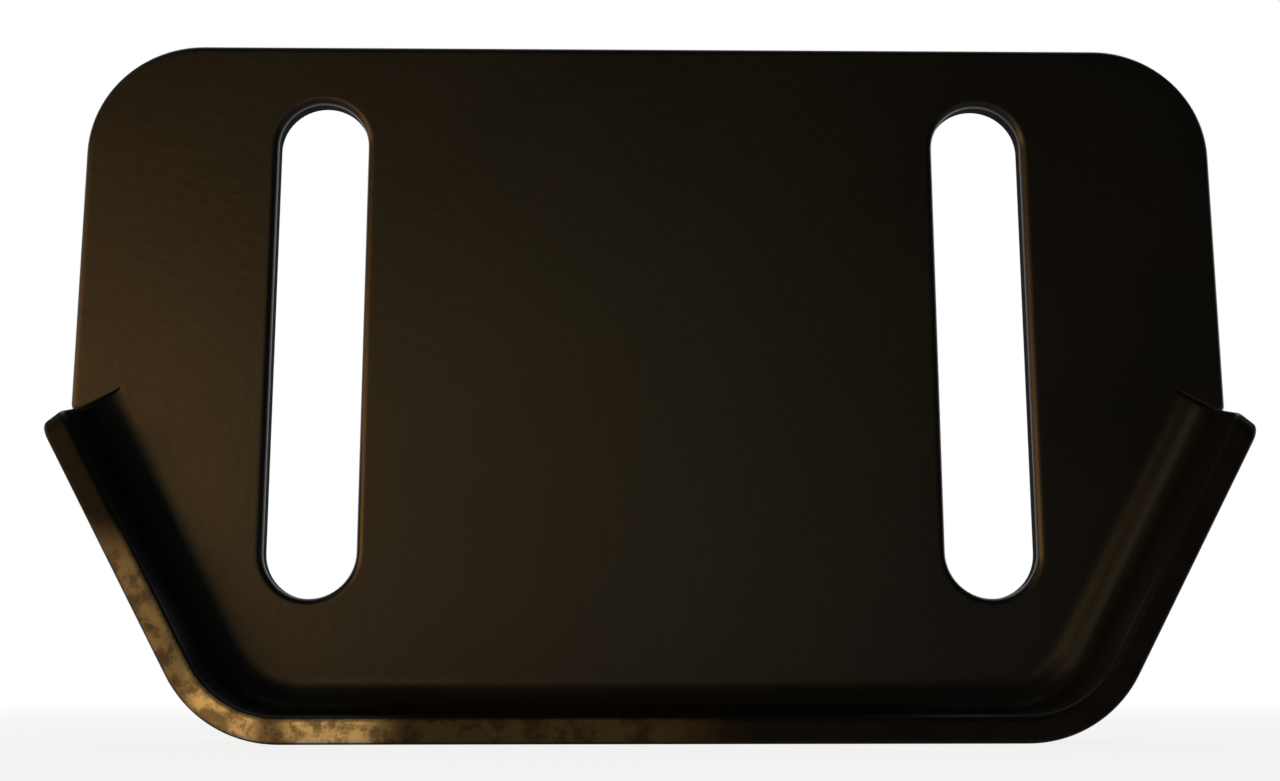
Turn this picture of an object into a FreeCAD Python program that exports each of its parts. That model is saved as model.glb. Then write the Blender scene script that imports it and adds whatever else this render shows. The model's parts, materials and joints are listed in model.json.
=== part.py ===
import FreeCAD, Part
import math
import os

# Skid shoe of a snow blower, pressed from one steel sheet. A flat plate bolts to the side of
# the auger housing through two upright slots. Its lower edge is folded forward into one
# unbroken flange: the sole that slides on the ground and a ramp that rises at each end.
# Millimetres and degrees. X runs along the sole, Z is up and +Y points into the housing.
# The origin is midway between the slots, on the mounting face.

# Sheet and fold
sheet = 2.66
bend_radius = 3.5
flange_depth = 13.5

# Bolt slots
slot_width = 9.5
slot_length = 52.7
slot_spacing = 69.85

# Plate above the slots, and below them down to the bend line of the sole
head_margin = 6.45
foot_margin = 7.9
top_corner_radius = 11.9

# Sole and ramps: the sole's corners lie outside the slots by the overhang
sole_overhang = 2.8
ramp_angle = 61.0
ramp_height = 30.1
bend_line_radius = 6.2

# Free ends of the ramps: just inside the plate's sides, higher on the inner skin by the lean,
# and parted from the plate's ears by a lanced slit across the fold
ramp_end_inset = 0.9
ramp_end_lean = 10.0
ramp_end_radius = 1.6
ear_radius = 1.0
slit_width = 0.4

# Edges, as shares of the sheet: rolled over in front and inside the fold, broken on the other skin
rolled_edge_share = 0.22
broken_edge_share = 0.19

# How far a cutter or a limit runs past what it cuts
clear = 10.0

# Derived sizes
bend_line = sheet + bend_radius
corner_radius = bend_line_radius + bend_line
slant = math.radians(ramp_angle)
lean = math.radians(ramp_end_lean)
ramp_length = ramp_height / math.sin(slant)
sole_half = slot_spacing / 2 + slot_width / 2 + sole_overhang
ramp_end_x = sole_half + ramp_height / math.tan(slant)
plate_half = ramp_end_x + ramp_end_inset
sole_z = -slot_length / 2 - foot_margin - bend_line
top_z = slot_length / 2 + head_margin
ramp_end_z = sole_z + ramp_height
rolled_edge = rolled_edge_share * sheet
broken_edge = broken_edge_share * sheet

# Directions: out of the open side, out of the mounting face, up the right ramp, and at its free
# end in along the cut and square off it
FORWARD = FreeCAD.Vector(0, -1, 0)
BACKWARD = FreeCAD.Vector(0, 1, 0)
UP_RAMP = FreeCAD.Vector(math.cos(slant), 0, math.sin(slant))
INTO_END = FreeCAD.Vector(-math.sin(slant - lean), 0, math.cos(slant - lean))
OFF_END = FreeCAD.Vector(math.cos(slant - lean), 0, math.sin(slant - lean))

# Two points nearer than this are one point, and two normals nearer than this are one direction
NEAR = 1e-4
SMOOTH = 0.999


def place(x, z):
    """A point of the mounting face."""
    return FreeCAD.Vector(x, 0, z)


def both_sides(right_half):
    """The right half's corners, each a point and a radius, and then the same corners on the left."""
    left_half = [(place(-point.x, point.z), radius) for point, radius in reversed(right_half)]
    return right_half + left_half


def slab(corners, back, front):
    """An outline with rounded corners, extruded between two depths in front of the mounting face."""
    edges, starts, ends = [], [], []
    for i, (corner, radius) in enumerate(corners):
        before = (corners[i - 1][0] - corner).normalize()
        after = (corners[(i + 1) % len(corners)][0] - corner).normalize()
        half_angle = before.getAngle(after) / 2
        starts.append(corner + before * (radius / math.tan(half_angle)))
        ends.append(corner + after * (radius / math.tan(half_angle)))
        if radius > 0:
            bisector = (before + after).normalize()
            crown = corner + bisector * (radius / math.sin(half_angle) - radius)
            edges.append(Part.Arc(starts[i], crown, ends[i]).toShape())
    for i, end in enumerate(ends):
        start = starts[(i + 1) % len(starts)]
        if not end.isEqual(start, NEAR):
            edges.append(Part.LineSegment(end, start).toShape())
    face = Part.Face(Part.Wire(Part.sortEdges(edges)[0]))
    face.translate(FORWARD * back)
    return face.extrude(FORWARD * (front - back))


def ramp_end(inset, beyond=0.0):
    """A point of the right ramp's free end, this far in from the outer face and beyond the cut."""
    return place(ramp_end_x, ramp_end_z) + INTO_END * (inset / math.cos(lean)) + OFF_END * beyond


def trough(inset, back, fold_radius):
    """The space within the flange's outer faces, less an inset, with the fold round its back edge."""
    corner = place(sole_half - inset * math.tan(slant / 2), sole_z + inset)
    mouth = corner + UP_RAMP * (ramp_length + clear)
    outline = both_sides([(mouth, 0), (corner, corner_radius - inset)])
    block = slab(outline, back, flange_depth + clear)
    fold = []
    for edge in block.Edges:
        box = edge.BoundBox
        if box.YMin > -back - NEAR and box.ZMin < mouth.z - NEAR:
            fold.append(edge)
    return block.makeFillet(fold_radius, fold)


def flange():
    """The sole and both ramps with their fold, cut off at the rim and at the ramps' free ends."""
    folded = trough(0, 0, bend_line).cut(trough(sheet, sheet, bend_radius))
    outside = ramp_end(-clear)
    below = place(outside.x, sole_z - clear)
    limits = slab(both_sides([(ramp_end(bend_line), 0), (outside, 0), (below, 0)]), 0, flange_depth)
    free_ends = []
    for edge in limits.Edges:
        box = edge.BoundBox
        if box.YMax < NEAR - flange_depth and box.XLength > NEAR and box.ZLength > NEAR:
            free_ends.append(edge)
    return folded.common(limits.makeFillet(ramp_end_radius, free_ends))


def plate():
    """The flat plate, down to the bend line, with an ear above each ramp's free end."""
    ear_line = ramp_end(0, slit_width)
    ear_z = ear_line.z - (plate_half - ear_line.x) / math.tan(slant - lean)
    right_half = [
        (place(plate_half, top_z), top_corner_radius),
        (place(plate_half, ear_z), ear_radius),
        (ramp_end(bend_line, slit_width), 0),
        (ramp_end(bend_line), 0),
    ]
    return slab(both_sides(right_half), 0, sheet)


def bolt_slot():
    """The cutter for the right slot, an upright rounded bar through the sheet."""
    left_x = slot_spacing / 2 - slot_width / 2
    right_x = slot_spacing / 2 + slot_width / 2
    end_radius = slot_width / 2
    corners = []
    for x, z in ((left_x, -1), (right_x, -1), (right_x, 1), (left_x, 1)):
        corners.append((place(x, z * slot_length / 2), end_radius))
    return slab(corners, -clear, sheet + clear)


def slit_end():
    """The cutter for the round end of the right slit, at the bend line."""
    centre = ramp_end(bend_line, slit_width / 2)
    return Part.makeCylinder(slit_width / 2, sheet + 2 * clear, centre + BACKWARD * clear, FORWARD)


def normal_at(face, point):
    """A face's outward normal at a point on it."""
    u, v = face.Surface.parameter(point)
    return face.normalAt(u, v)


def cut_edges(solid, outward):
    """The edges round a skin: the largest flat face this way and all that runs on from it."""
    flat = [f for f in solid.Faces if normal_at(f, f.CenterOfMass).dot(outward) > SMOOTH]
    skin = [max(flat, key=lambda face: face.Area)]
    border = []
    for face in skin:
        for edge in face.Edges:
            middle = edge.valueAt((edge.FirstParameter + edge.LastParameter) / 2)
            across = [f for f in solid.ancestorsOfType(edge, Part.Face) if not f.isSame(face)][0]
            if normal_at(face, middle).dot(normal_at(across, middle)) < SMOOTH:
                border.append(edge)
            elif not any(across.isSame(found) for found in skin):
                skin.append(across)
    return border


def skid_shoe():
    """The whole shoe: plate and flange in one, with slots, slits and softened edges."""
    solid = plate().fuse(flange())
    for cutter in (bolt_slot(), slit_end()):
        solid = solid.cut(cutter).cut(cutter.mirror(FreeCAD.Vector(), FreeCAD.Vector(1, 0, 0)))
    solid = solid.removeSplitter()
    solid = solid.makeFillet(rolled_edge, cut_edges(solid, FORWARD))
    solid = solid.makeChamfer(broken_edge, cut_edges(solid, BACKWARD))
    return solid.Solids[0]


os.makedirs("parts", exist_ok=True)
skid_shoe().exportStep("parts/skid_shoe.step")
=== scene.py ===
import json
import math

import bmesh
import bpy
from mathutils import Matrix, Vector
from mathutils.geometry import intersect_point_line


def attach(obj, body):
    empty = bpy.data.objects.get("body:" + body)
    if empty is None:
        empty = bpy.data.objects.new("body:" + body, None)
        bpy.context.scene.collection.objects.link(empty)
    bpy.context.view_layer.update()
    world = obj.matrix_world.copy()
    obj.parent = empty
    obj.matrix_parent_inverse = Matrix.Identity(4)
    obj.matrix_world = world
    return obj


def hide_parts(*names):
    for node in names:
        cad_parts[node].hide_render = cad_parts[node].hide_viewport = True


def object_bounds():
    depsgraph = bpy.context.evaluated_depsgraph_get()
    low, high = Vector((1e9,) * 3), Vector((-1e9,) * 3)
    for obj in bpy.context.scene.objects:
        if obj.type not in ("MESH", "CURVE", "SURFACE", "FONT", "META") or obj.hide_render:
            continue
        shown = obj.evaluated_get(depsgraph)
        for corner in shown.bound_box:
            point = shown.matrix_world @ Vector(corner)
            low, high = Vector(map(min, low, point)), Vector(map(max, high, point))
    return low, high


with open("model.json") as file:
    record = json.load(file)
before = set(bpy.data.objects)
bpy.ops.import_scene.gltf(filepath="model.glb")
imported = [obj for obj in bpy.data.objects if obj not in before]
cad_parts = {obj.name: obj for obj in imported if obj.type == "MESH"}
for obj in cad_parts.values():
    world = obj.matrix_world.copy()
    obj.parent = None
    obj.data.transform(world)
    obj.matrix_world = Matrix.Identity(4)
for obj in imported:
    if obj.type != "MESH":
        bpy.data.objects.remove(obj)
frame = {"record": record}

bl_info = {
    "name": "Skid Shoe",
    "version": (1, 0, 0),
    "blender": (4, 5, 0),
    "location": "View3D > Sidebar > Skid Shoe",
    "description": "Presses a snow blower skid shoe from one sheet, paints it and sets up its stage",
    "category": "Object",
}

# The CAD box and the right slot's mount give the sizes that both models share.
CAD_LOW, CAD_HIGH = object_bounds()
SLOT = next(m for m in frame["record"]["mounts"] if m["name"] == "right_bolt_slot")
MM = 0.001

# Out of the open side; a positive turn about it runs left as seen from there.
FORWARD = Vector((0, -1, 0))
RIGHT = Vector((1, 0, 0))

# Runs of the bend line, kept on the vertices that the flange is drawn out from.
FLAT, SOLE, CORNER, RAMP_END = 0, 1, 2, 3

# Edges that meet at more than this are the sheet's cut edges.
CUT_ANGLE = math.radians(50)
WELD = 1e-7

# Straight pieces of each arc, and bands of each fold and rounded edge.
BEND_LINE_STEPS = 18
SLIT_STEPS = 8
EAR_STEPS = 10
TOP_CORNER_STEPS = 24
SLOT_END_STEPS = 28
FOLD_STEPS = 14
RAMP_END_STEPS = 8
ROLLED_STEPS = 6
BROKEN_STEPS = 4
BACKDROP_STEPS = 24

# The bevel profile that is a true arc.
ROUND_PROFILE = 0.5

# The slit: where it starts to close and where it is closed, in sheets from the ramp's outer face,
# and how near a sharp line a vertex belongs to its rounding, in radii.
SLIT_MOUTH = 1.1
SLIT_CLOSED = 1.5
ROUNDING_REACH = 1.05

# The rim and its rubbed patch, a painted highlight of warm metal where the glint falls on the lower left:
# each soft step runs from where it is none to where it is full.
RIM_DEPTH = (CAD_LOW.y + 0.9 * MM, CAD_LOW.y + 0.5 * MM)
GLINT_RUB_DEPTH = (CAD_LOW.y + 0.20 * MM, CAD_LOW.y + 0.04 * MM)
GLINT_RUB_HEIGHT = (-18.5 * MM, -25 * MM)
GLINT_RUB_CORNER = ((-45 * MM, -42 * MM), (-36 * MM, -38.5 * MM))
GLINT_RUB_SOLE = ((-36 * MM, -33 * MM), (-22 * MM, -29 * MM))
GLINT_RUB_END = (-22 * MM, -28 * MM)
GLINT_RUB_TRACE = (10 * MM, -2 * MM)
GLINT_RUB_SPOTS = (0.40, 0.55)

# Strength of the painted highlight's rubbed metal beside its two main patches, in its thin spots and in the
# trace along the sole.
GLINT_RUB_BESIDE = 0.36
GLINT_RUB_THIN = 0.40
GLINT_RUB_FAINT = 0.09

# The paint's refraction, the shader's value for its full gloss, and the noise over which the thin
# paint of the cut edges and the duller patches come in.
PAINT_IOR = 1.5
FULL_GLOSS = 0.5
THIN_SPOTS = (0.35, 0.65)
DULL_CLOUDS = (0.3, 0.7)

# The floor's reach to the front and the sides, and the backdrop that rises behind the shoe.
FLOOR_REACH = 3.0
BACKDROP_START = 1.2
BACKDROP_RADIUS = 0.5
BACKDROP_TOP = 1.2
FLOOR_ROUGHNESS = 0.9

# Soft steps of the white background: out from the shoe, back from it, and by a ray's direction.
WHITE_OUT = (0.04, 0.30)
WHITE_BACK = (-0.02, 0.0)
WHITE_BACKWARD = (0.0, 0.2)
WHITE_LEVEL = (0.6, 0.4)

# Place and turns of the camera, in radians, that match the photo.
CAMERA_SPOT = (-4.0008 * MM, -166.4465 * MM, -34.1216 * MM)
CAMERA_YAW = -0.0172
CAMERA_PITCH = 0.1767
CAMERA_ROLL = 0.001
CAMERA_SENSOR = 36.0
CAMERA_CLIP = 0.01


class ShoeSizes(bpy.types.PropertyGroup):
    """Sizes of the pressed sheet."""

    sheet: bpy.props.FloatProperty(
        name="Sheet", description="Thickness of the steel sheet",
        default=2.66 * MM, min=0.1 * MM, unit="LENGTH")
    bend_radius: bpy.props.FloatProperty(
        name="Bend Radius", description="Inner radius of the fold",
        default=3.5 * MM, min=0.0, unit="LENGTH")
    slot_width: bpy.props.FloatProperty(
        name="Slot Width", description="Width of each bolt slot",
        default=2 * SLOT["dims"]["hole_r_mm"] * MM, unit="LENGTH")
    slot_length: bpy.props.FloatProperty(
        name="Slot Length", description="Length of each bolt slot, end to end",
        default=SLOT["dims"]["slot_length_mm"] * MM, unit="LENGTH")
    slot_x: bpy.props.FloatProperty(
        name="Slot Offset", description="Distance of each slot from the middle",
        default=SLOT["pos_m"][0], unit="LENGTH")
    top_radius: bpy.props.FloatProperty(
        name="Top Corner Radius", description="Radius of the plate's upper corners",
        default=11.9 * MM, unit="LENGTH")
    sole_half: bpy.props.FloatProperty(
        name="Sole Half Length", description="From the middle to where sole and ramp would meet",
        default=42.475 * MM, unit="LENGTH")
    bend_line_radius: bpy.props.FloatProperty(
        name="Bend Line Radius", description="Radius of the bend line round each lower corner",
        default=6.2 * MM, unit="LENGTH")
    ramp_angle: bpy.props.FloatProperty(
        name="Ramp Angle", description="Rise of each ramp from the sole",
        default=math.radians(61.0), subtype="ANGLE")
    ramp_height: bpy.props.FloatProperty(
        name="Ramp Height", description="Height of each ramp's free end above the ground",
        default=30.1 * MM, unit="LENGTH")
    end_lean: bpy.props.FloatProperty(
        name="End Lean", description="How far the cut of each ramp's free end is out of square",
        default=math.radians(10.0), subtype="ANGLE")
    end_slant: bpy.props.FloatProperty(
        name="End Slant", description="Rise of each ramp's free end from the rim back to the fold",
        default=math.radians(13.0), subtype="ANGLE")
    end_radius: bpy.props.FloatProperty(
        name="End Radius", description="Rounding of each ramp's free end at the rim",
        default=1.6 * MM, unit="LENGTH")
    ear_radius: bpy.props.FloatProperty(
        name="Ear Radius", description="Rounding of the plate's ears above the ramps",
        default=1.0 * MM, unit="LENGTH")
    slit: bpy.props.FloatProperty(
        name="Slit", description="Width of the slit between ear and ramp at its mouth",
        default=0.4 * MM, unit="LENGTH")
    slit_inside: bpy.props.FloatProperty(
        name="Slit Inside", description="Width to which the slit closes at the bend line",
        default=0.1 * MM, unit="LENGTH")
    sheared: bpy.props.FloatProperty(
        name="Sheared Edges", description="Rounding along the slit, as a share of that elsewhere",
        default=0.15, min=0.0, max=1.0, subtype="FACTOR")
    rolled_edge: bpy.props.FloatProperty(
        name="Rolled Edge", description="Radius of the edges in front and inside the fold",
        default=0.7 * MM, unit="LENGTH")
    broken_edge: bpy.props.FloatProperty(
        name="Broken Edge", description="Radius of the edges behind and outside the fold",
        default=0.5 * MM, unit="LENGTH")


class PaintLook(bpy.types.PropertyGroup):
    """Look of the black paint."""

    colour: bpy.props.FloatVectorProperty(
        name="Paint", description="Colour of the paint", default=(0.0045, 0.0045, 0.0038), size=3,
        subtype="COLOR", min=0.0, max=1.0)
    edge_colour: bpy.props.FloatVectorProperty(
        name="Thin Paint", description="Colour of the thin paint along the cut edges",
        default=(0.009, 0.008, 0.0065), size=3, subtype="COLOR", min=0.0, max=1.0)
    smooth: bpy.props.FloatProperty(
        name="Roughness, Smooth", description="Roughness where the paint flowed out well", default=0.30,
        min=0.0, max=1.0, subtype="FACTOR")
    dull: bpy.props.FloatProperty(
        name="Roughness, Dull", description="Roughness of the duller patches", default=0.37,
        min=0.0, max=1.0, subtype="FACTOR")
    dry: bpy.props.FloatProperty(
        name="Roughness, Cut Edges", description="Roughness of the thin dry paint on the cut edges",
        default=0.9, min=0.0, max=1.0, subtype="FACTOR")
    rim: bpy.props.FloatProperty(
        name="Roughness, Rim", description="Roughness of the paint on the flange's rim", default=0.45,
        min=0.0, max=1.0, subtype="FACTOR")
    edge_gloss: bpy.props.FloatProperty(
        name="Gloss, Thin Paint", description="Gloss on the cut edges and the rim, where 0.5 is full",
        default=0.14, min=0.0, max=1.0, subtype="FACTOR")
    # The rubbed rim's warm metal colour is a painted highlight, set where the glint falls on the rim.
    rub_glint_colour: bpy.props.FloatVectorProperty(
        name="Rubbed Rim", description="Colour of the metal where the rim's lower left is rubbed",
        default=(0.82, 0.74, 0.47), size=3, subtype="COLOR", min=0.0, max=1.0)
    rub_glint: bpy.props.FloatProperty(
        name="Roughness, Rubbed", description="Roughness of the rubbed metal", default=0.40,
        min=0.0, max=1.0, subtype="FACTOR")
    peel: bpy.props.FloatProperty(
        name="Orange Peel", description="Height of the orange peel in the paint",
        default=0.020 * MM, unit="LENGTH", precision=6)
    wave: bpy.props.FloatProperty(
        name="Waves", description="Height of the slow waves in the paint",
        default=0.05 * MM, unit="LENGTH", precision=6)
    grain: bpy.props.FloatProperty(
        name="Grain", description="Height of the fine grain in the paint",
        default=0.0025 * MM, unit="LENGTH", precision=6)


class StageLook(bpy.types.PropertyGroup):
    """Floor, lamps and camera."""

    floor_colour: bpy.props.FloatVectorProperty(
        name="Floor", description="Colour of the floor and backdrop", default=(0.93, 0.93, 0.93), size=3,
        subtype="COLOR", min=0.0, max=1.0)
    floor_white: bpy.props.FloatProperty(
        name="Floor Whiteness", description="How far the floor near the shoe is plain white", default=0.86,
        min=0.0, max=1.0, subtype="FACTOR")
    panel_colour: bpy.props.FloatVectorProperty(
        name="Side Panel", description="Colour of the warm panel in front on the left",
        default=(1.0, 0.49, 0.14), size=3, subtype="COLOR", min=0.0, max=1.0)
    panel_power: bpy.props.FloatProperty(
        name="Side Panel Power", description="Power of the warm panel", default=2.6, unit="POWER")
    front_colour: bpy.props.FloatVectorProperty(
        name="Front Panel", description="Colour of the dim panel in front",
        default=(1.0, 0.80, 0.38), size=3, subtype="COLOR", min=0.0, max=1.0)
    front_power: bpy.props.FloatProperty(
        name="Front Panel Power", description="Power of the dim panel in front", default=0.19, unit="POWER")
    high_colour: bpy.props.FloatVectorProperty(
        name="High Panel", description="Colour of the dim panel high on the left",
        default=(1.0, 0.96, 0.60), size=3, subtype="COLOR", min=0.0, max=1.0)
    high_power: bpy.props.FloatProperty(
        name="High Panel Power", description="Power of the dim panel high on the left",
        default=0.155, unit="POWER")
    top_colour: bpy.props.FloatVectorProperty(
        name="Top Light", description="Colour of the large soft light overhead",
        default=(0.94, 0.97, 1.0), size=3, subtype="COLOR", min=0.0, max=1.0)
    top_power: bpy.props.FloatProperty(
        name="Top Light Power", description="Power of the large soft light overhead, from behind",
        default=2.5, unit="POWER")
    fill_colour: bpy.props.FloatVectorProperty(
        name="Fill", description="Colour of the cool fill on the right",
        default=(0.42, 0.56, 1.0), size=3, subtype="COLOR", min=0.0, max=1.0)
    fill_power: bpy.props.FloatProperty(
        name="Fill Power", description="Power of the cool fill on the right", default=0.28, unit="POWER")
    world_colour: bpy.props.FloatVectorProperty(
        name="Ambient", description="Colour of the even light all round", default=(0.75, 0.9, 0.9), size=3,
        subtype="COLOR", min=0.0, max=1.0)
    world_level: bpy.props.FloatProperty(
        name="Ambient Level", description="Strength of the even light all round", default=0.03, min=0.0)
    lens: bpy.props.FloatProperty(
        name="Lens", description="Focal length of the camera", default=45.0, unit="CAMERA")


class Form:
    """Places on the right half of the shoe that follow from its sizes, in the plane of the plate."""

    def __init__(self, sizes):
        self.half_length = CAD_HIGH.x
        self.top = CAD_HIGH.z
        self.ground = CAD_LOW.z
        self.rim = CAD_LOW.y
        self.bend_line = sizes.sheet + sizes.bend_radius
        self.slant = sizes.ramp_angle
        self.lean = sizes.end_lean
        self.cut = self.slant - self.lean
        self.up_ramp = Vector((math.cos(self.slant), 0, math.sin(self.slant)))
        self.inward = Vector((-math.sin(self.slant), 0, math.cos(self.slant)))
        self.into_end = Vector((-math.sin(self.cut), 0, math.cos(self.cut)))
        self.off_end = Vector((math.cos(self.cut), 0, math.sin(self.cut)))
        radius = sizes.bend_line_radius + self.bend_line
        self.corner = Vector((sizes.sole_half - radius * math.tan(self.slant / 2), 0, self.ground + radius))
        self.rise = (-self.rim - self.bend_line) * math.tan(sizes.end_slant)
        rim_end = Vector((
            sizes.sole_half + sizes.ramp_height / math.tan(self.slant), 0, self.ground + sizes.ramp_height))
        self.end_foot = rim_end + self.up_ramp * self.rise
        self.ear_reach = sizes.ear_radius / math.tan(self.cut / 2)
        self.mouth = SLIT_MOUTH * sizes.sheet
        self.closed = SLIT_CLOSED * sizes.sheet

    def ramp_end(self, inset, beyond=0.0):
        """A point of the free end of the ramp's fold, in from the outer face and beyond the cut."""
        return self.end_foot + self.into_end * (inset / math.cos(self.lean)) + self.off_end * beyond

    def from_end(self, point):
        """The way to a point from the free end of its own ramp's fold, as on the right half."""
        return Vector((abs(point.x), 0, point.z)) - self.end_foot

    def beyond_cut(self, point):
        """How far a point lies beyond the cut of its ramp's fold, towards the ear."""
        return self.from_end(point).dot(self.off_end)

    def in_slit(self, point):
        """How far a point lies within the slit: 0 at its mouth and elsewhere, 1 where it is closed."""
        if abs(self.beyond_cut(point)) > self.mouth:
            return 0.0
        depth = self.from_end(point).dot(self.into_end)
        return min(max((depth - self.mouth) / (self.closed - self.mouth), 0.0), 1.0)


def line_to(bm, vert, point):
    """Draws a straight edge from a vertex to a point and returns the new end."""
    made = bmesh.ops.extrude_vert_indiv(bm, verts=[vert])
    end = made["verts"][0]
    bmesh.ops.translate(bm, verts=[end], vec=point - end.co)
    return end


def turn(bm, vert, centre, angle, steps, axis=FORWARD):
    """Draws an arc from a vertex round a centre and returns the new end."""
    made = bmesh.ops.spin(
        bm, geom=[vert], cent=centre, axis=axis, angle=angle, steps=steps, use_merge=False)
    return next(item for item in made["geom_last"] if isinstance(item, bmesh.types.BMVert))


def own_side(point):
    """A factor that turns the right half's directions to the half that a point lies on."""
    return Vector((math.copysign(1, point.x), 1, 1))


def draw_outline(bm, sizes, form, run):
    """Draws the right half of the flat plate: the bend line, the slit, the ear, the side and the top."""
    foot = form.ground + form.bend_line
    start = bm.verts.new((0, 0, foot))
    start[run] = SOLE
    vert = line_to(bm, start, Vector((form.corner.x, 0, foot)))
    vert[run] = CORNER
    vert = turn(bm, vert, form.corner, form.slant, BEND_LINE_STEPS)
    vert = line_to(bm, vert, form.ramp_end(form.bend_line))
    vert[run] = RAMP_END
    bend = set(bm.verts)
    vert = turn(bm, vert, form.ramp_end(form.bend_line, sizes.slit / 2), -math.pi, SLIT_STEPS)
    ear_line = form.ramp_end(0, sizes.slit)
    ear_drop = (form.half_length - ear_line.x) / math.tan(form.cut)
    ear = Vector((form.half_length, 0, ear_line.z - ear_drop))
    vert = line_to(bm, vert, ear + form.into_end * form.ear_reach)
    ear_centre = ear + Vector((-sizes.ear_radius, 0, form.ear_reach))
    vert = turn(bm, vert, ear_centre, math.pi - form.cut, EAR_STEPS)
    corner = Vector((form.half_length - sizes.top_radius, 0, form.top - sizes.top_radius))
    vert = line_to(bm, vert, corner + Vector((sizes.top_radius, 0, 0)))
    vert = turn(bm, vert, corner, math.pi / 2, TOP_CORNER_STEPS)
    vert = line_to(bm, vert, Vector((0, 0, form.top)))
    for plain in set(bm.verts) - bend:
        plain[run] = FLAT
    bm.edges.new((vert, start))


def draw_slot(bm, sizes, run):
    """Draws the right bolt slot: two straight sides and two round ends."""
    radius = sizes.slot_width / 2
    reach = sizes.slot_length / 2 - radius
    start = bm.verts.new((sizes.slot_x + radius, 0, -reach))
    start[run] = FLAT
    vert = line_to(bm, start, Vector((sizes.slot_x + radius, 0, reach)))
    vert = turn(bm, vert, Vector((sizes.slot_x, 0, reach)), math.pi, SLOT_END_STEPS)
    vert = line_to(bm, vert, Vector((sizes.slot_x - radius, 0, -reach)))
    turn(bm, vert, Vector((sizes.slot_x, 0, -reach)), math.pi, SLOT_END_STEPS)
    bmesh.ops.remove_doubles(bm, verts=bm.verts[:], dist=WELD)


def draw_out(bm, edges, form, run, out, forward, fall=0.0):
    """Draws a band on from the flange's front edges, shorter at the ramp's end by the fall.

    Returns the band's own front edges."""
    made = bmesh.ops.extrude_edge_only(bm, edges=edges)["geom"]
    verts = [item for item in made if isinstance(item, bmesh.types.BMVert)]
    sole = [v for v in verts if v[run] == SOLE]
    corner = [v for v in verts if v[run] == CORNER]
    end = [v for v in verts if v[run] == RAMP_END]
    radius = (corner[0].co - form.corner).xz.length
    grow = (radius + out) / radius
    bmesh.ops.translate(bm, verts=sole, vec=Vector((0, 0, -out)))
    bmesh.ops.scale(bm, verts=corner, vec=(grow, 1, grow), space=Matrix.Translation(-form.corner))
    along_cut = form.into_end * (-out / math.cos(form.lean))
    bmesh.ops.translate(bm, verts=end, vec=along_cut - form.up_ramp * fall)
    bmesh.ops.translate(bm, verts=verts, vec=FORWARD * forward)
    return [item for item in made if isinstance(item, bmesh.types.BMEdge)]


def fold_flange(bm, sizes, form, run):
    """Folds the flange forward from the bend line, draws it out to the rim and rounds the rim's end."""
    edges = [e for e in bm.edges if e.is_boundary and all(v[run] != FLAT for v in e.verts)]
    for step in range(FOLD_STEPS):
        before = math.pi / 2 * step / FOLD_STEPS
        after = math.pi / 2 * (step + 1) / FOLD_STEPS
        out = form.bend_line * (math.sin(after) - math.sin(before))
        forward = form.bend_line * (math.cos(before) - math.cos(after))
        edges = draw_out(bm, edges, form, run, out, forward)
    edges = draw_out(bm, edges, form, run, 0.0, -form.rim - form.bend_line, form.rise)
    tip = [v for e in edges for v in e.verts if v[run] == RAMP_END]
    made = bmesh.ops.bevel(
        bm, geom=tip, offset=sizes.end_radius, offset_type="OFFSET", segments=RAMP_END_STEPS,
        profile=ROUND_PROFILE, affect="VERTICES", clamp_overlap=False, material=-1)
    for vert in made["verts"]:
        vert[run] = RAMP_END


def ring_border(bm, sizes, run):
    """Runs a narrow band of faces inside the sheet's border, for the edges to be rounded on."""
    width = (sizes.rolled_edge + sizes.ear_radius) / 2
    bmesh.ops.inset_region(
        bm, faces=bm.faces[:], thickness=width, use_boundary=True, use_even_offset=True,
        use_interpolate=False)
    for vert in bm.verts:
        if not vert.is_boundary:
            vert[run] = FLAT


def thicken(bm, sizes, form, run, skin):
    """Gives the sheet its thickness towards the open side and leans the cuts of the ramps' ends."""
    bm.normal_update()
    made = bmesh.ops.solidify(bm, geom=bm.faces[:], thickness=sizes.sheet)["geom"]
    for item in made:
        if isinstance(item, bmesh.types.BMVert):
            item[skin] = 1
    for vert in bm.verts:
        if vert[run] == RAMP_END:
            side = own_side(vert.co)
            place = vert.co * side - form.end_foot
            slide = place.dot(form.inward) * math.tan(form.lean)
            if -vert.co.y <= form.bend_line + WELD:
                slide -= place.dot(form.up_ramp)
            bmesh.ops.translate(bm, verts=[vert], vec=form.up_ramp * side * slide)


def nearest_place(point, lines):
    """The nearest place to a point on straight lines that are given by their ends."""
    places = []
    for start, end in lines:
        along = intersect_point_line(point, start, end)[1]
        places.append(start.lerp(end, min(max(along, 0.0), 1.0)))
    return min(places, key=lambda place: (place - point).length)


def cut_edges(bm):
    """The sheet's cut edges that are still sharp."""
    return [e for e in bm.edges if e.calc_face_angle(0.0) > CUT_ANGLE]


def soften(bm, edges, radius, segments, mark, dry):
    """Rounds cut edges, marks how dry the paint is there and returns the lines where they were sharp."""
    lines = [[v.co.copy() for v in e.verts] for e in edges]
    made = bmesh.ops.bevel(
        bm, geom=edges, offset=radius, offset_type="OFFSET", segments=segments, profile=ROUND_PROFILE,
        affect="EDGES", clamp_overlap=False, loop_slide=True, material=-1)
    for face in made["faces"]:
        face[mark] = dry
    return lines


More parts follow.
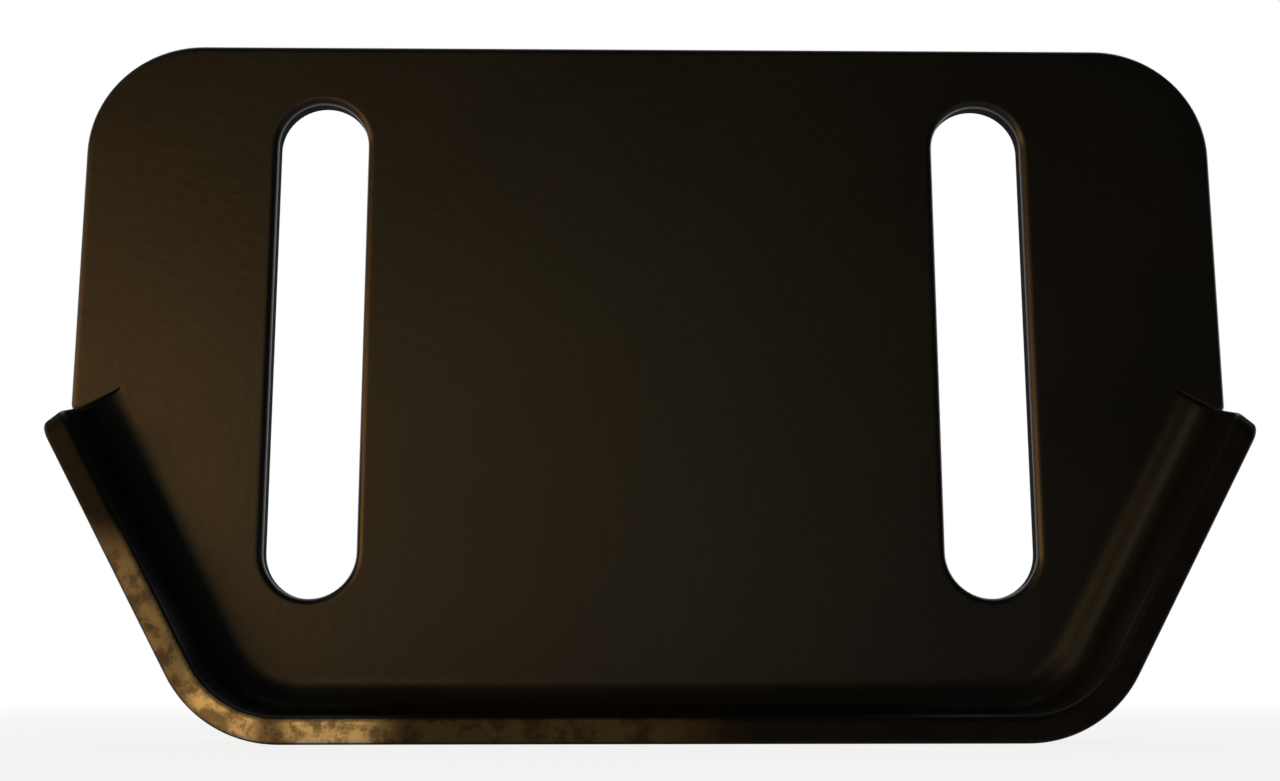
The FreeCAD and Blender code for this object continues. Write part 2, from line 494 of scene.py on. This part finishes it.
def shear_slit(bm, sizes, form, lines, radius):
    """Draws the rounding along the slit back to its sharp lines and closes the ear down on the ramp."""
    lines = [line for line in lines if any(form.in_slit(end) for end in line)]
    for vert in bm.verts:
        if form.in_slit(vert.co):
            place = nearest_place(vert.co, lines)
            back = place - vert.co
            if back.length < ROUNDING_REACH * radius:
                gap = max(form.beyond_cut(place), 0.0) * (1 - sizes.slit_inside / sizes.slit)
                move = back * (1 - sizes.sheared) - form.off_end * own_side(vert.co) * gap
                bmesh.ops.translate(bm, verts=[vert], vec=move * form.in_slit(place))


def press_sheet(sizes):
    """The whole shoe as a closed mesh: half is drawn and folded, then mirrored, thickened and softened."""
    form = Form(sizes)
    bm = bmesh.new()
    run = bm.verts.layers.int.new("bend_run")
    skin = bm.verts.layers.int.new("front_skin")
    draw_outline(bm, sizes, form, run)
    draw_slot(bm, sizes, run)
    bmesh.ops.triangle_fill(bm, use_beauty=True, use_dissolve=False, edges=bm.edges[:], normal=-FORWARD)
    fold_flange(bm, sizes, form, run)
    bmesh.ops.mirror(bm, geom=bm.verts[:] + bm.edges[:] + bm.faces[:], axis="X", merge_dist=WELD)
    bmesh.ops.recalc_face_normals(bm, faces=bm.faces[:])
    ring_border(bm, sizes, run)
    thicken(bm, sizes, form, run, skin)
    bmesh.ops.recalc_face_normals(bm, faces=bm.faces[:])
    mark = bm.faces.layers.float.new("cut_edge")
    for face in bm.faces:
        if len({v[skin] for v in face.verts}) > 1:
            face[mark] = 1.0
    rolled = [e for e in cut_edges(bm) if all(v[skin] for v in e.verts)]
    front_lines = soften(bm, rolled, sizes.rolled_edge, ROLLED_STEPS, mark, 0.0)
    back_lines = soften(bm, cut_edges(bm), sizes.broken_edge, BROKEN_STEPS, mark, 1.0)
    shear_slit(bm, sizes, form, front_lines, sizes.rolled_edge)
    shear_slit(bm, sizes, form, back_lines, sizes.broken_edge)
    for face in bm.faces:
        face.smooth = True
    mesh = bpy.data.meshes.new("painted_shoe")
    bm.to_mesh(mesh)
    bm.free()
    return mesh


class Nodes:
    """Short ways to add the nodes of a material or a world."""

    def __init__(self, tree):
        self.tree = tree
        self.link = tree.links.new
        self.place = self.add("ShaderNodeTexCoord").outputs

    def add(self, kind):
        """A new node of this kind."""
        return self.tree.nodes.new(kind)

    def along(self, space, axis):
        """One coordinate, in object space or, for a world, along the ray."""
        node = self.add("ShaderNodeSeparateXYZ")
        self.link(self.place[space], node.inputs["Vector"])
        return node.outputs[axis]

    def noise(self, scale, detail, rough):
        """Noise in object space."""
        node = self.add("ShaderNodeTexNoise")
        node.inputs["Scale"].default_value = scale
        node.inputs["Detail"].default_value = detail
        node.inputs["Roughness"].default_value = rough
        self.link(self.place["Object"], node.inputs["Vector"])
        return node.outputs["Fac"]

    def ranged(self, value, low, high, to_low=0.0, to_high=1.0):
        """A soft step of a value between two limits, from one result to the other."""
        node = self.add("ShaderNodeMapRange")
        node.interpolation_type = "SMOOTHSTEP"
        limits = {"From Min": low, "From Max": high, "To Min": to_low, "To Max": to_high}
        for name, limit in limits.items():
            node.inputs[name].default_value = limit
        self.link(value, node.inputs["Value"])
        return node.outputs["Result"]

    def band(self, value, rise, fall):
        """Full between two soft steps and none outside them."""
        return self.both(self.ranged(value, *rise), self.ranged(value, *fall))

    def math(self, operation, first, second):
        """One operation on two values."""
        node = self.add("ShaderNodeMath")
        node.operation = operation
        self.link(first, node.inputs[0])
        self.link(second, node.inputs[1])
        return node.outputs["Value"]

    def both(self, first, second):
        """Where both masks hold."""
        return self.math("MULTIPLY", first, second)

    def either(self, first, second):
        """Where either mask holds."""
        return self.math("MAXIMUM", first, second)

    def blend(self, kind, factor, first, second):
        """A mix of two values or two colours, each a socket or a constant."""
        node = self.add("ShaderNodeMix")
        node.data_type = kind
        sockets = [s for s in node.inputs if s.enabled]
        self.link(factor, sockets[0])
        for socket, value in zip(sockets[1:], (first, second)):
            if isinstance(value, bpy.types.NodeSocket):
                self.link(value, socket)
            else:
                socket.default_value = value
        return next(s for s in node.outputs if s.enabled)

    def bump(self, height, distance, normal=None):
        """A normal that follows a height, on top of another normal."""
        node = self.add("ShaderNodeBump")
        node.inputs["Strength"].default_value = 1.0
        node.inputs["Distance"].default_value = distance
        self.link(height, node.inputs["Height"])
        if normal is not None:
            self.link(normal, node.inputs["Normal"])
        return node.outputs["Normal"]

    def in_view(self, behind):
        """Rays that see the white background: the camera's, and behind the shoe its mirrored ones too."""
        rays = self.add("ShaderNodeLightPath").outputs
        mirrored = self.either(rays["Is Glossy Ray"], rays["Is Transmission Ray"])
        return self.either(rays["Is Camera Ray"], self.both(mirrored, behind))

    def mixed(self, factor, first, second):
        """Leads a mix of two shaders to the output."""
        node = self.add("ShaderNodeMixShader")
        self.link(factor, node.inputs["Fac"])
        self.link(first, node.inputs[1])
        self.link(second, node.inputs[2])
        output = next(n for n in self.tree.nodes if n.type.startswith("OUTPUT"))
        self.link(node.outputs["Shader"], output.inputs["Surface"])


def rim_rub_and_painted_glint(nodes):
    """How far the rim shows warm rubbed metal, a painted highlight where the glint falls: most at its lower
    left corner and on the sole beside it.
    """
    along = nodes.along("Object", "X")
    patches = nodes.either(nodes.band(along, *GLINT_RUB_CORNER), nodes.band(along, *GLINT_RUB_SOLE))
    most = nodes.ranged(patches, 0.0, 1.0, GLINT_RUB_BESIDE, 1.0)
    left = nodes.both(most, nodes.ranged(along, *GLINT_RUB_END))
    trace = nodes.ranged(along, *GLINT_RUB_TRACE, 0.0, GLINT_RUB_FAINT)
    low = nodes.ranged(nodes.along("Object", "Z"), *GLINT_RUB_HEIGHT)
    front = nodes.ranged(nodes.along("Object", "Y"), *GLINT_RUB_DEPTH)
    spots = nodes.ranged(nodes.noise(scale=380, detail=5, rough=0.7), *GLINT_RUB_SPOTS, GLINT_RUB_THIN, 1.0)
    return nodes.both(nodes.both(front, low), nodes.both(nodes.either(left, trace), spots))


def black_paint(look):
    """Semi-gloss black paint with orange peel, duller on the cut edges and the rim, with a painted
    highlight of warm rubbed metal on the rim.
    """
    material = bpy.data.materials.new("black_paint")
    material.use_nodes = True
    nodes = Nodes(material.node_tree)
    shader = material.node_tree.nodes["Principled BSDF"].inputs
    shader["IOR"].default_value = PAINT_IOR
    cut = nodes.add("ShaderNodeAttribute")
    cut.attribute_name = "cut_edge"
    cut = cut.outputs["Fac"]

    rim = nodes.ranged(nodes.along("Object", "Y"), *RIM_DEPTH)
    # Painted highlight: warm rubbed metal set where the glint falls on the rim's lower left.
    rub_glint = rim_rub_and_painted_glint(nodes)

    spots = nodes.ranged(nodes.noise(scale=260, detail=3, rough=0.6), *THIN_SPOTS)
    painted = nodes.blend("RGBA", nodes.both(cut, spots), (*look.colour, 1), (*look.edge_colour, 1))
    nodes.link(nodes.blend("RGBA", rub_glint, painted, (*look.rub_glint_colour, 1)), shader["Base Color"])
    nodes.link(rub_glint, shader["Metallic"])
    thin = nodes.either(rim, cut)
    nodes.link(nodes.blend("FLOAT", thin, FULL_GLOSS, look.edge_gloss), shader["Specular IOR Level"])

    clouds = nodes.noise(scale=42, detail=4, rough=0.55)
    flat = nodes.ranged(clouds, *DULL_CLOUDS, look.smooth, look.dull)
    edged = nodes.blend("FLOAT", cut, flat, look.dry)
    rimmed = nodes.blend("FLOAT", rim, edged, look.rim)
    nodes.link(nodes.blend("FLOAT", rub_glint, rimmed, look.rub_glint), shader["Roughness"])

    wave = nodes.bump(nodes.noise(scale=28, detail=1, rough=0.5), look.wave)
    peel = nodes.bump(nodes.noise(scale=820, detail=2, rough=0.5), look.peel, wave)
    grain = nodes.bump(nodes.noise(scale=3600, detail=2, rough=0.6), look.grain, peel)
    nodes.link(grain, shader["Normal"])
    return material


def floor_finish(look):
    """Pale floor that keeps the shoe's shadow and runs to plain white further off."""
    material = bpy.data.materials.new("pale_floor")
    material.use_nodes = True
    nodes = Nodes(material.node_tree)
    floor = material.node_tree.nodes["Principled BSDF"]
    floor.inputs["Base Color"].default_value = (*look.floor_colour, 1)
    floor.inputs["Roughness"].default_value = FLOOR_ROUGHNESS
    floor.inputs["Specular IOR Level"].default_value = 0.0
    white = nodes.add("ShaderNodeEmission")
    distance = nodes.add("ShaderNodeVectorMath")
    distance.operation = "LENGTH"
    nodes.link(nodes.place["Object"], distance.inputs[0])
    share = nodes.ranged(distance.outputs["Value"], *WHITE_OUT, look.floor_white, 1.0)
    seen = nodes.in_view(nodes.ranged(nodes.along("Object", "Y"), *WHITE_BACK))
    nodes.mixed(nodes.both(seen, share), floor.outputs["BSDF"], white.outputs["Emission"])
    return material


def studio_world(look):
    """Dim even light all round, in front of a white background."""
    world = bpy.data.worlds.new("studio")
    world.use_nodes = True
    nodes = Nodes(world.node_tree)
    even = world.node_tree.nodes["Background"]
    even.inputs["Color"].default_value = (*look.world_colour, 1)
    even.inputs["Strength"].default_value = look.world_level
    white = nodes.add("ShaderNodeBackground")
    white.inputs["Color"].default_value = (1, 1, 1, 1)
    backward = nodes.ranged(nodes.along("Generated", "Y"), *WHITE_BACKWARD)
    level = nodes.ranged(nodes.along("Generated", "Z"), *WHITE_LEVEL)
    seen = nodes.in_view(nodes.both(backward, level))
    nodes.mixed(seen, even.outputs["Background"], white.outputs["Background"])
    return world


def link_mesh(name, mesh, material):
    """Puts a mesh into the scene as an object at the origin."""
    mesh.materials.append(material)
    piece = bpy.data.objects.new(name, mesh)
    bpy.context.scene.collection.objects.link(piece)
    return piece


def sweep_floor():
    """A floor under the shoe that curves up into a backdrop behind it."""
    ground = CAD_LOW.z
    left = -FLOOR_REACH
    bm = bmesh.new()
    vert = bm.verts.new((left, -FLOOR_REACH, ground))
    vert = line_to(bm, vert, Vector((left, BACKDROP_START, ground)))
    centre = Vector((left, BACKDROP_START, ground + BACKDROP_RADIUS))
    vert = turn(bm, vert, centre, math.pi / 2, BACKDROP_STEPS, RIGHT)
    line_to(bm, vert, Vector((left, BACKDROP_START + BACKDROP_RADIUS, BACKDROP_TOP)))
    made = bmesh.ops.extrude_edge_only(bm, edges=bm.edges[:])["geom"]
    across = [item for item in made if isinstance(item, bmesh.types.BMVert)]
    bmesh.ops.translate(bm, verts=across, vec=RIGHT * 2 * FLOOR_REACH)
    bmesh.ops.recalc_face_normals(bm, faces=bm.faces[:])
    for face in bm.faces:
        face.smooth = True
    mesh = bpy.data.meshes.new("floor")
    bm.to_mesh(mesh)
    bm.free()
    return mesh


def add_lamp(name, power, colour, size, azimuth, elevation, distance):
    """A soft light of this width and height that faces the shoe.

    Its azimuth runs to the right of the open side. Both angles are in degrees."""
    side = math.radians(azimuth)
    rise = math.radians(elevation)
    out = distance * math.cos(rise)
    place = Vector((out * math.sin(side), -out * math.cos(side), distance * math.sin(rise)))
    data = bpy.data.lights.new(name, "AREA")
    data.shape = "RECTANGLE"
    data.size, data.size_y = size
    data.energy = power
    data.color = colour
    lamp = bpy.data.objects.new(name, data)
    lamp.location = place
    lamp.visible_camera = False
    lamp.rotation_euler = (-place).to_track_quat("-Z", "Y").to_euler()
    bpy.context.scene.collection.objects.link(lamp)


def add_lamps(look):
    """The warm panel and two dim ones in front, the large light overhead and the cool fill."""
    add_lamp(
        "side_panel", look.panel_power, look.panel_colour,
        size=(1.0, 0.20), azimuth=-54, elevation=4, distance=0.75)
    add_lamp(
        "front_panel", look.front_power, look.front_colour,
        size=(0.44, 0.26), azimuth=-9, elevation=7.6, distance=0.8)
    add_lamp(
        "high_panel", look.high_power, look.high_colour,
        size=(0.50, 0.22), azimuth=-58, elevation=40, distance=0.8)
    add_lamp(
        "top_light", look.top_power, look.top_colour,
        size=(1.2, 0.8), azimuth=180, elevation=62, distance=0.95)
    add_lamp(
        "right_fill", look.fill_power, look.fill_colour,
        size=(0.6, 0.6), azimuth=130, elevation=37, distance=0.8)


def add_camera(look):
    """The camera, placed and turned as for the photo."""
    data = bpy.data.cameras.new("camera")
    data.sensor_fit = "HORIZONTAL"
    data.sensor_width = CAMERA_SENSOR
    data.lens = look.lens
    data.clip_start = CAMERA_CLIP
    camera = bpy.data.objects.new("camera", data)
    yaw = Matrix.Rotation(CAMERA_YAW, 4, "Z")
    pitch = Matrix.Rotation(CAMERA_PITCH, 4, "X")
    roll = Matrix.Rotation(CAMERA_ROLL, 4, "Y")
    level = Matrix.Rotation(math.pi / 2, 4, "X")
    camera.matrix_world = Matrix.Translation(CAMERA_SPOT) @ yaw @ pitch @ roll @ level
    bpy.context.scene.collection.objects.link(camera)
    return camera


class SHOE_OT_press(bpy.types.Operator):
    """Press the skid shoe from one sheet and paint it"""

    bl_idname = "shoe.press"
    bl_label = "Press Skid Shoe"

    def execute(self, context):
        mesh = press_sheet(context.scene.shoe_sizes)
        piece = link_mesh("painted_shoe", mesh, black_paint(context.scene.shoe_paint))
        even = piece.modifiers.new("even_shading", "WEIGHTED_NORMAL")
        even.keep_sharp = True
        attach(piece, "root")
        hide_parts("skid_shoe")
        return {"FINISHED"}


class SHOE_OT_stage(bpy.types.Operator):
    """Set up the floor, the lamps and the camera"""

    bl_idname = "shoe.stage"
    bl_label = "Set Up Stage"

    def execute(self, context):
        look = context.scene.shoe_stage
        link_mesh("floor", sweep_floor(), floor_finish(look))
        add_lamps(look)
        context.scene.camera = add_camera(look)
        context.scene.world = studio_world(look)
        context.scene.view_settings.view_transform = "Standard"
        return {"FINISHED"}


class SHOE_PT_sidebar(bpy.types.Panel):
    """Sizes, paint and stage of the skid shoe"""

    bl_label = "Skid Shoe"
    bl_idname = "SHOE_PT_sidebar"
    bl_space_type = "VIEW_3D"
    bl_region_type = "UI"
    bl_category = "Skid Shoe"

    def draw(self, context):
        layout = self.layout
        for group in (context.scene.shoe_sizes, context.scene.shoe_paint, context.scene.shoe_stage):
            box = layout.box()
            for name in group.__annotations__:
                box.prop(group, name)
        layout.operator(SHOE_OT_press.bl_idname)
        layout.operator(SHOE_OT_stage.bl_idname)


CLASSES = (ShoeSizes, PaintLook, StageLook, SHOE_OT_press, SHOE_OT_stage, SHOE_PT_sidebar)


def register():
    for cls in CLASSES:
        bpy.utils.register_class(cls)
    bpy.types.Scene.shoe_sizes = bpy.props.PointerProperty(type=ShoeSizes)
    bpy.types.Scene.shoe_paint = bpy.props.PointerProperty(type=PaintLook)
    bpy.types.Scene.shoe_stage = bpy.props.PointerProperty(type=StageLook)


def unregister():
    del bpy.types.Scene.shoe_stage
    del bpy.types.Scene.shoe_paint
    del bpy.types.Scene.shoe_sizes
    for cls in reversed(CLASSES):
        bpy.utils.unregister_class(cls)


def main():
    register()
    bpy.ops.shoe.press()
    bpy.ops.shoe.stage()


if __name__ == "__main__":
    main()
